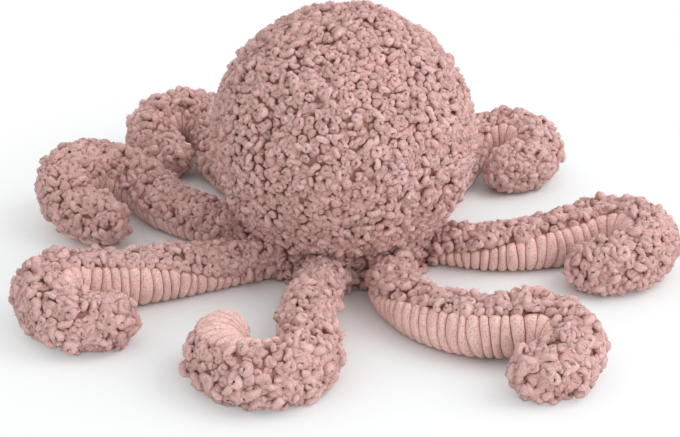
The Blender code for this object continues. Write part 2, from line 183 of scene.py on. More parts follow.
# Form of the locks
LOCK_KINDS = 36
LOCK_RINGS = 14
LOCK_SIDES = 6
LOCK_FATNESS = 0.00195
LOCK_SINK = 0.0018
LOCK_SINK_RATE = 6.0
LOCK_WAIST_SHARE = 0.84
LOCK_SWELL_SHARE = 0.22
LOCK_END_SHARES = (0.6, 0.85)
LOCK_CAP_SHARE = 0.7
LOCK_MIDDLE_SHARE = -0.10
LOCK_LUMP_SHARE = 0.10
LOCK_TALL_SHARE = 3.0
LOCK_FIRST_SIDE = (0.3, 0.2, 1.0)
LOCK_WARP_SHARE = 0.13
LOCK_WARP_LENGTH = 0.0066
LOCK_WARP_WAVES = 4
LOCK_CELL_SHARES = (0.04, 0.78, 0.10, 0.90, 0.02)
GRAIN_TWIST = 0.5
GRAIN_REACH = 0.15
GRAIN_SPREAD = 90.0
HAIRS_PER_LOCK = 18
HAIR_LENGTHS = (0.0010, 0.0026)
HAIR_RADIUS = 0.00011
HAIR_LEAN = 0.35

# Kinds of lock, each drawing from these shares of its strand's fatness
LOCK_MIX = ("puff",) * 6 + ("flat_curl",) * 4 + ("roll", "bent_lump")
Coil = namedtuple("Coil", "fat_shares turns outer_shares")
COILS = {
    "puff": Coil((1.15, 1.45), (0.85, 1.15), (0.75, 1.05)),
    "flat_curl": Coil((0.85, 1.05), (1.2, 1.7), (1.2, 1.6)),
}
COIL_INNER_SHARES = (0.1, 0.35)
COIL_POWER = 1.2
COIL_STRETCHES = (0.82, 1.22)
COIL_FOOT_SHARE = 0.35
COIL_RISE_SHARES = (0.7, 1.1)
ROLL_TURNS = (0.9, 1.2)
ROLL_RADIUS_SHARES = (1.1, 1.4)
ROLL_NARROWING_SHARE = 0.4
ROLL_DRIFT_SHARES = (1.2, 2.0)
ROLL_LIFT_SHARE = 1.1
LUMP_REACH_SHARES = (2.2, 2.8)
LUMP_SWAY_SHARE = 1.1
LUMP_LIFT_SHARE = 0.9
LUMP_ARCH_SHARE = 1.1

# How far soft pile gives where it lies on the surface
PRESSED_HEIGHT = 0.002

# Photograph's frame and its view
PICTURE_WIDTH = 680
SENSOR_WIDTH = 36.0
FOCAL_PIXELS = 1927
VIEW_AIM = (-0.0018, 0.0, 0.0218)
VIEW_DISTANCE = 1.2
VIEW_ELEVATION = 25.0

# Colours and relief of the cloths, with the colours of painted shade in the crevices between locks and in the
# grooves of the corduroy
PILE_PALE = screen_colour(232, 196, 193)
PILE_DEEP = screen_colour(225, 185, 180)
PILE_DUSK = screen_colour(213, 169, 161)
# Painted shade: deeper colour towards the roots of the locks, standing for the shade in the crevices between
# them
PILE_ROOT_SHADE = screen_colour(189, 138, 130)
PILE_SHEEN = screen_colour(235, 205, 198)
# Painted shade: the backing's dark colour stands for the shade deep between the locks
BACKING_SHADE = screen_colour(168, 120, 112)
BACKING_SHEEN = screen_colour(200, 160, 150)
RIB_PALE = screen_colour(239, 203, 196)
RIB_DEEP = screen_colour(232, 194, 186)
# Painted shade: the dark colour of the grooves between the ribs and of the gaps between tufts of the cut pile
RIB_GROOVE_SHADE = screen_colour(187, 134, 124)
RIB_SHEEN = screen_colour(240, 212, 205)
PILE_RELIEF = 0.0011
RIB_RELIEF = 0.0006
BACKING_RELIEF = 0.0005
DUSK_SHARE = 0.55
# How deep the painted root shade is, and how far up each lock it reaches
ROOT_SHADE_SHARE = 0.55
ROOT_SHADE_HEIGHT_SHARE = 0.75
# How deep and how wide the painted groove shade is, and how much painted shade fills the gaps between tufts
GROOVE_SHADE_SHARE = 0.75
GROOVE_SHADE_WIDTH_SHARE = 0.6
TUFT_GAP_SHADE_SHARE = 0.45
TUFT_EDGES = (0.18, 0.42)

# Studio
SKY_LIGHT = 0.85
FLOOR_WIDTH = 9.0
FLOOR_COLOUR = (0.80, 0.80, 0.80, 1.0)
FLOOR_NEAR_COLOUR = (0.895, 0.93, 0.935, 1.0)
BLACK = (0.0, 0.0, 0.0, 1.0)
WHITE = (1.0, 1.0, 1.0, 1.0)
FLOOR_NEAR_DISTANCE = 0.16
FLOOR_FAR_DISTANCE = 0.32
Lamp = namedtuple("Lamp", "name place width watts")
LAMPS = (
    Lamp("key_light", (1.20, -0.15, 1.20), 1.5, 11.3),
    Lamp("front_fill", (0.85, -1.6, 0.35), 1.2, 6.6),
)


def smooth_share(value):
    """0 below 0, 1 above 1, and an even ease between them."""
    share = np.clip(value, 0.0, 1.0)
    return share * share * (3.0 - 2.0 * share)


def unit(vectors):
    return vectors / np.linalg.norm(vectors, axis=-1, keepdims=True)


def round_points(radius, angle, height):
    """Points at a radius and an angle round the toy's upright middle line, at a height."""
    return np.column_stack((radius * np.cos(angle), radius * np.sin(angle), height))


# Form of the arms

def arm_angle(arm):
    return math.radians(FIRST_ARM_ANGLE + 360.0 / len(ARMS) * ARMS.index(arm))


def arm_thickness(share):
    """Radius of the stuffed arm, before its tip rounds off, at a share of its length."""
    share = np.asarray(share, float)
    thickness = np.full(share.shape, THICKNESS_RADII[-1])
    for index in range(len(THICKNESS_RADII) - 1, 0, -1):
        before, after = THICKNESS_SHARES[index - 1], THICKNESS_SHARES[index]
        eased = smooth_share((share - before) / (after - before))
        radius = THICKNESS_RADII[index - 1] + (THICKNESS_RADII[index] - THICKNESS_RADII[index - 1]) * eased
        thickness = np.where(share <= after, radius, thickness)
    return thickness


def curled_angle(arm, share):
    """Degrees that the arm has curled by at a share of its length."""
    curled = np.maximum(share - arm.straight_share, 0.0) / (1.0 - arm.straight_share)
    return arm.curl * curled * (1.0 - CURL_TIGHTENING_SHARE / 2 * (1.0 - curled))


def arm_heading(arm, share):
    """Direction of the arm seen from above: a slow bow, then the curl, a little tighter towards the tip."""
    straight = np.minimum(share / arm.straight_share, 1.0)
    away = arm.root_turn + (arm.bow - arm.root_turn) * straight
    return arm_angle(arm) + arm.side * np.radians(curled_angle(arm, share) - away)


def arm_height(arm, share):
    """Height of the arm's middle: its thickness, and the hump where the curl lifts off the surface."""
    hump = np.clip((share - arm.rise_middle_share) / RISE_WIDTH_SHARE, -1.0, 1.0)
    lift = np.cos(hump * math.pi / 2) ** 2
    return arm_thickness(share) - FLOOR_SINK + arm.rise_share * CURL_THICKNESS_RADIUS * lift


def arm_path(arm):
    """Points along the middle of the arm, PATH_STEPS even steps apart, from the head to the tip."""
    angle = arm_angle(arm)
    heading = arm_heading(arm, (np.arange(PATH_STEPS) + 0.5) / PATH_STEPS)
    steps = np.column_stack((np.cos(heading), np.sin(heading))) * ARM_LENGTH / PATH_STEPS
    start = np.array([[math.cos(angle), math.sin(angle)]]) * ARM_START_RADIUS
    level = np.vstack((start, start + np.cumsum(steps, axis=0)))
    return np.column_stack((level, arm_height(arm, np.arange(PATH_STEPS + 1) / PATH_STEPS)))


PATHS = {arm.name: arm_path(arm) for arm in ARMS}
Sections = namedtuple("Sections", "centre along inward up rib_angle radius round_off")


def arm_sections(arm, travel):
    """The arm's cross-sections at distances along its outside, which go on over the round of its tip."""
    tip_angle = np.maximum(travel - TIP_START, 0.0) / TIP_THICKNESS_RADIUS
    distance = np.minimum(travel, TIP_START) + TIP_THICKNESS_RADIUS * np.sin(tip_angle)
    share = distance / ARM_LENGTH
    inside = np.clip(distance, 0.0, ARM_LENGTH)
    path = PATHS[arm.name]
    marks = np.linspace(0.0, ARM_LENGTH, PATH_STEPS + 1)
    centre = np.column_stack([np.interp(inside, marks, path[:, axis]) for axis in range(3)])
    slope = np.arctan(np.interp(inside, marks, np.gradient(path[:, 2], marks)))
    heading = arm_heading(arm, share)
    flat = np.cos(slope)
    along = np.column_stack((np.cos(heading) * flat, np.sin(heading) * flat, np.sin(slope)))
    inward = np.column_stack((-np.sin(heading), np.cos(heading), np.zeros_like(heading))) * arm.side
    up = np.cross(along, inward) * arm.side
    centre = centre + along * (distance - inside)[:, None]
    first, last = arm.twist_shares
    twist = smooth_share((share - first) / (last - first))
    curled = smooth_share((share - arm.straight_share) / (1.0 - arm.straight_share))
    rib_angle = RIB_ANGLE_AT_NECK + (RIB_ANGLE_AT_CURL - RIB_ANGLE_AT_NECK) * twist
    rib_angle = np.radians(rib_angle + (arm.tip_rib_angle - RIB_ANGLE_AT_CURL) * curled)
    round_off = np.cos(tip_angle)
    return Sections(centre, along, inward, up, rib_angle, arm_thickness(share) * round_off, round_off)


def arm_surface(arm, travel, angle, lift):
    """Points and outward directions on the arm, at angles from the middle of its ribbed side."""
    at = arm_sections(arm, travel)
    turn = at.rib_angle + angle
    across = at.inward * np.cos(turn)[:, None] + at.up * np.sin(turn)[:, None]
    tip_share = np.sqrt(np.maximum(1.0 - at.round_off**2, 0.0))
    outward = across * at.round_off[:, None] + at.along * tip_share[:, None]
    points = at.centre + across * at.radius[:, None] + outward * np.reshape(lift, (-1, 1))
    return points, outward


def rest_on_surface(points):
    """Flattens what would reach below the surface that the toy lies on."""
    height = points[:, 2]
    low = height < PRESSED_HEIGHT
    height[low] = PRESSED_HEIGHT * np.exp(height[low] / PRESSED_HEIGHT - 1.0)
    return points


def rib_grooves(arm):
    """Distances of the grooves, even on the cloth near the strip's upper edge and gathered at the neck."""
    travel = np.linspace(-ROOT_INSET, TRAVEL_LENGTH, PATH_STEPS)
    line = arm_surface(arm, travel, np.full(PATH_STEPS, math.radians(EVEN_RIB_ANGLE)), 0)[0]
    steps = np.linalg.norm(np.diff(line, axis=0), axis=1)
    least, most = np.array(EVEN_RIB_SHARES) * (travel[1] - travel[0])
    gathered = NECK_PITCH_SHARE + (1.0 - NECK_PITCH_SHARE) * smooth_share(travel[1:] / NECK_PITCH_LENGTH)
    cloth = np.concatenate(([0.0], np.cumsum(np.clip(steps, least, most) / gathered)))
    count = round(cloth[-1] / RIB_PITCH)
    marks = np.arange(count + 1) + RIB_UNEVEN_PITCH_SHARE * chance.uniform(-1.0, 1.0, count + 1)
    marks[0], marks[-1] = 0, count
    return np.interp(marks / count * cloth[-1], cloth, travel)


GROOVES = {arm.name: rib_grooves(arm) for arm in ARMS}
SWAY_PHASES = {arm.name: chance.uniform(0.0, math.tau, len(GROOVES[arm.name])) for arm in ARMS}


def nearest_groove(arm, travel):
    return int(np.argmin(np.abs(GROOVES[arm.name] - travel)))


def swayed(arm, rib, share, angle):
    """How far along the arm the cloth strays at this share of the way from one groove to the next."""
    phases = SWAY_PHASES[arm.name]
    following = np.minimum(rib + 1, len(phases) - 1)
    before, after = np.sin(2 * angle + phases[rib]), np.sin(2 * angle + phases[following])
    return RIB_SWAY * (before + (after - before) * share)


# Form of the head

def head_surface(travel_share, angle, lift):
    """Points and outward directions on the head, from its crown at 0 to its base seam at 1."""
    skirt_angle = math.pi - math.asin(SKIRT_TOP_RADIUS / HEAD_RADIUS)
    skirt_top = np.array([SKIRT_TOP_RADIUS, HEAD_CENTRE_HEIGHT + HEAD_RADIUS * math.cos(skirt_angle)])
    skirt_foot = np.array([BASE_SEAM_RADIUS, BASE_THICKNESS])
    skirt = skirt_foot - skirt_top
    skirt_length = float(np.linalg.norm(skirt))
    ball_length = HEAD_RADIUS * skirt_angle
    travel = travel_share * (ball_length + skirt_length)
    ball_angle = np.minimum(travel / HEAD_RADIUS, skirt_angle)
    down = np.maximum(travel - ball_length, 0.0) / skirt_length
    radius = HEAD_RADIUS * np.sin(ball_angle) + skirt[0] * down
    height = HEAD_CENTRE_HEIGHT + HEAD_RADIUS * np.cos(ball_angle) + skirt[1] * down
    lean = np.arctan2(-skirt[1], -skirt[0]) - math.pi / 2
    ball_out, ball_rise = np.sin(ball_angle), np.cos(ball_angle)
    ease = smooth_share(down * SKIRT_EASE_RATE)
    out = ball_out + (math.cos(lean) - ball_out) * ease
    rise = ball_rise + (-math.sin(lean) - ball_rise) * ease
    outward = unit(round_points(out, angle, rise))
    return round_points(radius, angle, height) + outward * np.reshape(lift, (-1, 1)), outward


def gore_of(angle):
    """Which gore an angle round the head lies in, and its angle from that gore's nearer seam."""
    span = math.tau / len(GORE_NAMES)
    turns = (angle + math.pi / 2) / span + 0.5
    gore = np.floor(turns).astype(int) % len(GORE_NAMES)
    share = turns - np.floor(turns)
    return gore, np.minimum(share, 1.0 - share) * span


def seam_dip(distance):
    """How deep the head's surface is drawn in at this distance from a seam."""
    return SEAM_DEPTH * np.exp(-((distance / SEAM_WIDTH) ** 2))


# Faces of grids

def grid_faces(rows, columns):
    """Four-cornered faces between neighbouring rows, each of which meets its own start."""
    faces = []
    for row in range(rows - 1):
        for column in range(columns):
            following = (column + 1) % columns
            low, high = row * columns, (row + 1) * columns
            faces.append((low + column, low + following, high + following, high + column))
    return faces


def end_faces(rows, columns):
    """Three-cornered faces that close the first and the last row, on the two points that follow the grid."""
    last, middle = (rows - 1) * columns, rows * columns
    faces = []
    for column in range(columns):
        following = (column + 1) % columns
        faces.append((following, column, middle))
        faces.append((last + column, last + following, middle + 1))
    return faces


# Curled locks

def lock_spines():
    """Middle lines of the kinds of lock, how fat each is, and whether it coils round its own middle."""
    share = np.linspace(0.0, 1.0, LOCK_RINGS)
    shapes = np.random.default_rng(3)
    spines = []
    for kind in range(LOCK_KINDS):
        form = LOCK_MIX[kind % len(LOCK_MIX)]
        hand = 1 if kind % 2 else -1
        first_turn = shapes.uniform(0, math.tau)
        fat = LOCK_FATNESS
        if form in COILS:
            coil = COILS[form]
            fat *= shapes.uniform(*coil.fat_shares)
            turns = shapes.uniform(*coil.turns)
            outer = fat * shapes.uniform(*coil.outer_shares)
            inner = fat * shapes.uniform(*COIL_INNER_SHARES)
            angle = first_turn + math.tau * turns * share * hand
            radius = outer + (inner - outer) * share**COIL_POWER
            stretch = shapes.uniform(*COIL_STRETCHES)
            rise = fat * (COIL_FOOT_SHARE + shapes.uniform(*COIL_RISE_SHARES) * share)
            across, aside = radius * np.cos(angle) * stretch, radius * np.sin(angle) / stretch
        elif form == "roll":
            angle = first_turn + math.tau * shapes.uniform(*ROLL_TURNS) * share * hand
            radius = fat * (shapes.uniform(*ROLL_RADIUS_SHARES) - ROLL_NARROWING_SHARE * share)
            across, aside = radius * np.cos(angle), fat * shapes.uniform(*ROLL_DRIFT_SHARES) * (share - 0.5)
            rise = radius * (ROLL_LIFT_SHARE + np.sin(angle))
        else:
            across = fat * shapes.uniform(*LUMP_REACH_SHARES) * (share - 0.5)
            aside = fat * LUMP_SWAY_SHARE * np.sin(share * math.tau * hand)
            rise = fat * (LUMP_LIFT_SHARE + LUMP_ARCH_SHARE * np.sin(share * math.pi))
        rise = rise - LOCK_SINK * np.clip(1.0 - share * LOCK_SINK_RATE, 0.0, 1.0) ** 2
        spines.append((np.column_stack((across, aside, rise)), fat, form in COILS))
    return spines


def lock_forms():
    """Points of each kind of lock with its loose hairs, and how far round and along it each point is."""
    share = np.linspace(0.0, 1.0, LOCK_RINGS)
    around = np.linspace(0.0, math.tau, LOCK_SIDES, endpoint=False)
    swell = LOCK_WAIST_SHARE + LOCK_SWELL_SHARE * np.sin(share * math.pi)
    swell[[0, -1]] *= LOCK_END_SHARES
    points, grain = [], []
    shapes = np.random.default_rng(5)
    for spine, fatness, coiled in lock_spines():
        fat = fatness * swell
        heading = unit(np.gradient(spine, axis=0))
        length = np.concatenate(([0.0], np.cumsum(np.linalg.norm(np.diff(spine, axis=0), axis=1))))
        side = unit(np.cross(heading[0], LOCK_FIRST_SIDE))
        rings, marks, circles = [], [], []
        for ring in range(LOCK_RINGS):
            side = unit(side - heading[ring] * float(side @ heading[ring]))
            other = np.cross(heading[ring], side)
            circle = np.outer(np.cos(around), side) + np.outer(np.sin(around), other)
            lumps = 1.0 + LOCK_LUMP_SHARE * shapes.uniform(-1.0, 1.0, (LOCK_SIDES, 1))
            outline = spine[ring] + circle * fat[ring] * lumps
            if coiled:
                away = unit(spine[ring][:2])
                short = np.maximum(fat[ring] * LOCK_MIDDLE_SHARE - outline[:, :2] @ away, 0.0)
                outline[:, :2] += np.outer(short, away)
            rings.append(outline)
            circles.append(circle)
            twist = around + length[ring] / LOCK_FATNESS * GRAIN_TWIST
            reach = np.full(LOCK_SIDES, length[ring] / fat[ring] * GRAIN_REACH)
            marks.append(np.column_stack((np.cos(twist), np.sin(twist), reach)))
        caps = heading * fat[:, None] * LOCK_CAP_SHARE
        ends = np.array([spine[0] - caps[0], spine[-1] + caps[-1]])
        waves = shapes.normal(size=(LOCK_WARP_WAVES, 3))
        waves *= math.tau / LOCK_WARP_LENGTH / np.linalg.norm(waves, axis=1, keepdims=True)
        starts = shapes.uniform(0.0, math.tau, LOCK_WARP_WAVES)
        pushes = shapes.normal(size=(LOCK_WARP_WAVES, 3))
        end_marks = np.array([marks[0].mean(axis=0), marks[-1].mean(axis=0)])
        hairs, hair_marks = [], []
        for _ in range(HAIRS_PER_LOCK):
            ring, place = shapes.integers(2, LOCK_RINGS), shapes.integers(0, LOCK_SIDES)
            lean = heading[ring] * shapes.uniform(-1.0, 1.0) + shapes.normal(0.0, HAIR_LEAN, 3)
            reach = unit(circles[ring][place] + lean)
            root = rings[ring][place] - reach * HAIR_RADIUS * 2
            side_way = unit(np.cross(reach, shapes.normal(size=3)))
            other_way = np.cross(reach, side_way)
            for corner in range(3):
                turn = math.tau * corner / 3
                hairs.append(root + (side_way * math.cos(turn) + other_way * math.sin(turn)) * HAIR_RADIUS)
            hairs.append(root + reach * shapes.uniform(*HAIR_LENGTHS))
            hair_marks.extend([marks[ring][place]] * 4)
        form = np.vstack((*rings, ends, hairs))
        form += LOCK_WARP_SHARE * LOCK_FATNESS * np.sin(form @ waves.T + starts) @ pushes
        points.append(form)
        grain.append(np.vstack((*marks, end_marks, hair_marks)))
    return np.array(points), np.array(grain)


def lock_faces():
    """Faces of one lock: four corners along its sides, three at its ends and on its hairs."""
    quads, fans = grid_faces(LOCK_RINGS, LOCK_SIDES), end_faces(LOCK_RINGS, LOCK_SIDES)
    for hair in range(HAIRS_PER_LOCK):
        root = LOCK_RINGS * LOCK_SIDES + 2 + hair * 4
        for corner in range(3):
            fans.append((root + corner, root + (corner + 1) % 3, root + 3))
        fans.append((root + 2, root + 1, root))
    return np.array(quads), np.array(fans)


def lock_layout():
    """Where the corners of one lock's faces lie in its own cell of the flat map: strand, ends, then hairs."""
    left, right, low, high, rim = LOCK_CELL_SHARES
    across = left + (right - left) * np.arange(LOCK_SIDES + 1) / LOCK_SIDES
    upward = low + (high - low) * np.arange(LOCK_RINGS) / (LOCK_RINGS - 1)
    quads, fans = [], []
    for ring in range(LOCK_RINGS - 1):
        for side in range(LOCK_SIDES):
            before, after = across[side], across[side + 1]
            below, above = upward[ring], upward[ring + 1]
            quads.append(((before, below), (after, below), (after, above), (before, above)))
    for side in range(LOCK_SIDES):
        before, after = across[side], across[side + 1]
        middle = (before + after) / 2
        fans.append(((after, low - rim), (before, low - rim), (middle, rim)))
        fans.append(((before, high + rim), (after, high + rim), (middle, 1.0 - rim)))
    start, width = right + rim, (1.0 - rim - right) / 4
    height = 1.0 / HAIRS_PER_LOCK
    for hair in range(HAIRS_PER_LOCK):
        for face in range(4):
            before, below = start + width * face, height * hair
            tip = (before + width * 0.4, below + height * 0.8)
            fans.append(((before, below), (before + width * 0.8, below), tip))
    return np.array(quads), np.array(fans)


LOCK_POINTS, LOCK_GRAIN = lock_forms()
LOCK_QUADS, LOCK_FANS = lock_faces()
LOCK_QUAD_LAYOUT, LOCK_FAN_LAYOUT = lock_layout()


def spread_out(points, spacing):
    """Indices of points that keep this spacing, taken in their given order."""
    taken = {}
    kept = []
    cells = np.floor(points / spacing).astype(int)
    neighbours = [(x, y, z) for x in (-1, 0, 1) for y in (-1, 0, 1) for z in (-1, 0, 1)]
    for index, (point, cell) in enumerate(zip(points.tolist(), cells.tolist())):
        x, y, z = cell
        around = (other for dx, dy, dz in neighbours for other in taken.get((x + dx, y + dy, z + dz), ()))
        if all(math.dist(point, other) >= spacing for other in around):
            taken.setdefault((x, y, z), []).append(point)
            kept.append(index)
    return np.array(kept)


def lock_mesh(name, roots, outward, material, size_share=1.0):
    """One mesh of locks, each a kind by chance, turned and leaned by chance."""
    count = len(roots)
    kinds = chance.integers(0, LOCK_KINDS, count)
    side = unit(np.cross(outward, chance.normal(size=(count, 3))))
    other = np.cross(outward, side)
    lean = chance.normal(0.0, LOCK_TILT, count)[:, None]
    axis = outward * np.cos(lean) + side * np.sin(lean)
    side = side * np.cos(lean) - outward * np.sin(lean)
    sizes = chance.uniform(*LOCK_SIZE_SHARES, count) * size_share
    roots = roots + outward * chance.uniform(*LOCK_STANDS, (count, 1))
    turned = np.stack((side, other, axis), axis=2)
    locks = np.einsum("nij,nkj->nki", turned, LOCK_POINTS[kinds]) * sizes[:, None, None]
    points = rest_on_surface((locks + roots[:, None, :]).reshape(-1, 3))
    per_lock = LOCK_POINTS.shape[1]
    starts = np.arange(count) * per_lock
    faces = []
    for corners in (LOCK_QUADS, LOCK_FANS):
        faces.extend((corners[None, :, :] + starts[:, None, None]).reshape(-1, corners.shape[1]).tolist())
    piece = make_piece(name, points, faces, [material])
    cells = math.ceil(math.sqrt(count))
    corner = np.column_stack((np.arange(count) % cells, np.arange(count) // cells))[:, None, None, :]
    places = [((layout[None] + corner) / cells).reshape(-1) for layout in (LOCK_QUAD_LAYOUT, LOCK_FAN_LAYOUT)]
    flat_map = piece.data.uv_layers.new(name="OFBake")
    flat_map.data.foreach_set("uv", np.concatenate(places).astype(np.float32))
    grain = LOCK_GRAIN[kinds] + chance.uniform(0.0, GRAIN_SPREAD, (count, 1, 3))
    shade = np.repeat(chance.uniform(0.0, 1.0, count), per_lock)
    height = np.clip(LOCK_POINTS[kinds][:, :, 2] / (LOCK_FATNESS * LOCK_TALL_SHARE), 0.0, 1.0)
    add_vectors(piece, "lock_grain", grain.reshape(-1, 3))
    add_numbers(piece, "lock_shade", shade)
    add_numbers(piece, "lock_height", height.reshape(-1))
    return piece


# Meshes

def make_piece(name, points, faces, materials, face_materials=None):
    mesh = bpy.data.meshes.new(name)
    mesh.from_pydata(points, [], faces)
    for material in materials:
        mesh.materials.append(material)
    if face_materials is not None:
        mesh.polygons.foreach_set("material_index", face_materials)
    mesh.shade_smooth()
    mesh.update()
    piece = bpy.data.objects.new(name, mesh)
    bpy.context.scene.collection.objects.link(piece)
    return piece


def add_numbers(piece, name, values):
    attribute = piece.data.attributes.new(name, "FLOAT", "POINT")
    attribute.data.foreach_set("value", np.asarray(values, np.float32))


def add_vectors(piece, name, values):
    attribute = piece.data.attributes.new(name, "FLOAT_VECTOR", "POINT")
    attribute.data.foreach_set("vector", np.asarray(values, np.float32).reshape(-1))


# Materials

def feed(tree, target, value):
    if isinstance(value, bpy.types.NodeSocket):
        tree.links.new(value, target)
    else:
        target.default_value = value


def add_node(tree, kind, inputs=None, **settings):
    node = tree.nodes.new(kind)
    for name, value in settings.items():
        setattr(node, name, value)
    for name, value in (inputs or {}).items():
        feed(tree, node.inputs[name], value)
    return node


def mix_colours(tree, share, first, second, way="MIX"):
    node = add_node(tree, "ShaderNodeMix", data_type="RGBA", blend_type=way)
    wanted = {"Factor_Float": share, "A_Color": first, "B_Color": second}
    for target in node.inputs:
        if target.identifier in wanted:
            feed(tree, target, wanted[target.identifier])
    return next(result for result in node.outputs if result.identifier == "Result_Color")


def map_share(tree, value, given, wanted):
    """The value carried over from the given range to the wanted one."""
    limits = dict(zip(("From Min", "From Max", "To Min", "To Max"), (*given, *wanted)))
    return add_node(tree, "ShaderNodeMapRange", {"Value": value, **limits}, clamp=True).outputs["Result"]


def calculate(tree, operation, first, second):
    node = add_node(tree, "ShaderNodeMath", operation=operation)
    feed(tree, node.inputs[0], first)
    feed(tree, node.inputs[1], second)
    return node.outputs["Value"]


def noise(tree, vector, scale, detail=2.0, roughness=0.55):
    inputs = {"Vector": vector, "Scale": scale, "Detail": detail, "Roughness": roughness}
    return add_node(tree, "ShaderNodeTexNoise", inputs).outputs["Fac"]


def read_attribute(tree, name, output):
    return add_node(tree, "ShaderNodeAttribute", attribute_name=name).outputs[output]


def start_group(name, inputs, outputs):
    """A node group with named inputs and outputs: its tree, and the sockets that its inputs arrive on."""
    tree = bpy.data.node_groups.new(name, "ShaderNodeTree")
    kinds = {"colour": "NodeSocketColor", "number": "NodeSocketFloat", "vector": "NodeSocketVector"}
    for label, kind in inputs:
        tree.interface.new_socket(label, in_out="INPUT", socket_type=kinds[kind])
    for label, kind in outputs:
        tree.interface.new_socket(label, in_out="OUTPUT", socket_type=kinds[kind])
    return tree, tree.nodes.new("NodeGroupInput").outputs


def end_group(tree, **results):
    add_node(tree, "NodeGroupOutput", {name.replace("_", " "): value for name, value in results.items()})
    return tree


def fibre_speckle_group():
    """Short fibres of a cloth: specks lighter and darker than its colour, and the height they stand to."""
    tree, given = start_group(
        "fibre_speckle",
        [("Colour", "colour"), ("Place", "vector"), ("Fineness", "number"), ("Contrast", "number")],
        [("Colour", "colour"), ("Height", "number")],
    )
    fine = noise(tree, given["Place"], given["Fineness"], 3.0, 0.7)
    coarse = noise(tree, given["Place"], calculate(tree, "MULTIPLY", given["Fineness"], 0.11), 2.0, 0.5)
    fine_part, coarse_part = calculate(tree, "MULTIPLY", fine, 0.7), calculate(tree, "MULTIPLY", coarse, 0.3)
    height = calculate(tree, "ADD", fine_part, coarse_part)
    swing = calculate(tree, "MULTIPLY", calculate(tree, "SUBTRACT", height, 0.5), given["Contrast"])
    level = calculate(tree, "ADD", calculate(tree, "MULTIPLY", swing, 2.0), 1.0)
    grey = add_node(tree, "ShaderNodeCombineColor", {"Red": level, "Green": level, "Blue": level})
    colour = mix_colours(tree, 1.0, given["Colour"], grey.outputs["Color"], "MULTIPLY")
    return end_group(tree, Colour=colour, Height=height)


def dye_group():
    """Slow change of the dyed colour over the cloth, between a paler and a deeper tone."""
    tree, given = start_group(
        "uneven_dye",
        [("Pale", "colour"), ("Deep", "colour"), ("Place", "vector"), ("Patches", "number")],
        [("Colour", "colour")],
    )
    share = map_share(tree, noise(tree, given["Place"], given["Patches"]), (0.3, 0.7), (0.0, 1.0))
    return end_group(tree, Colour=mix_colours(tree, share, given["Pale"], given["Deep"]))


def place_group(tree, group, **inputs):
    node = add_node(tree, "ShaderNodeGroup", node_tree=group)
    for name, value in inputs.items():
        feed(tree, node.inputs[name], value)
    return node.outputs


def start_material(name, roughness, sheen, sheen_tint):
    material = bpy.data.materials.new(name)
    material.use_nodes = True
    tree = material.node_tree
    shader = tree.nodes["Principled BSDF"]
    shader.inputs["Roughness"].default_value = roughness
    shader.inputs["Specular IOR Level"].default_value = 0.15
    shader.inputs["Sheen Weight"].default_value = sheen
    shader.inputs["Sheen Roughness"].default_value = 0.5
    shader.inputs["Sheen Tint"].default_value = sheen_tint
    return material, tree, shader


def finish_material(tree, shader, colour, height, relief):
    """Colour and relief of a cloth, the relief in metres."""
    bump = add_node(tree, "ShaderNodeBump", {"Height": height, "Distance": relief, "Strength": 0.8})
    feed(tree, shader.inputs["Base Color"], colour)
    feed(tree, shader.inputs["Normal"], bump.outputs["Normal"])


def object_place(tree):
    return add_node(tree, "ShaderNodeTexCoord").outputs["Object"]


def make_pile_material(speckle, dye):
    """Curled locks: fibre lines along each lock, a tone of its own by chance, and painted shade darkening it
    towards its root, where the crevices between locks are.
    """
    material, tree, shader = start_material("woolly_pile", 0.95, 0.25, PILE_SHEEN)
    place = object_place(tree)
    base = place_group(tree, dye, Pale=PILE_PALE, Deep=PILE_DEEP, Place=place, Patches=22.0)["Colour"]
    own = map_share(tree, read_attribute(tree, "lock_shade", "Fac"), (0.0, 1.0), (0.0, DUSK_SHARE))
    shaded = mix_colours(tree, own, base, PILE_DUSK)
    height = read_attribute(tree, "lock_height", "Fac")
    # Painted shade: each lock darkens towards its root, where its neighbours shade it
    root = map_share(tree, height, (0.0, ROOT_SHADE_HEIGHT_SHARE), (ROOT_SHADE_SHARE, 0.0))
    root_shaded = mix_colours(tree, root, shaded, PILE_ROOT_SHADE)
    grain = read_attribute(tree, "lock_grain", "Vector")
    fibres = place_group(tree, speckle, Colour=root_shaded, Place=grain, Fineness=2.6, Contrast=0.70)
    frizz = place_group(tree, speckle, Colour=fibres["Colour"], Place=place, Fineness=950.0, Contrast=0.55)
    relief = calculate(tree, "ADD", fibres["Height"], frizz["Height"])
    finish_material(tree, shader, frizz["Colour"], relief, PILE_RELIEF)
    return material


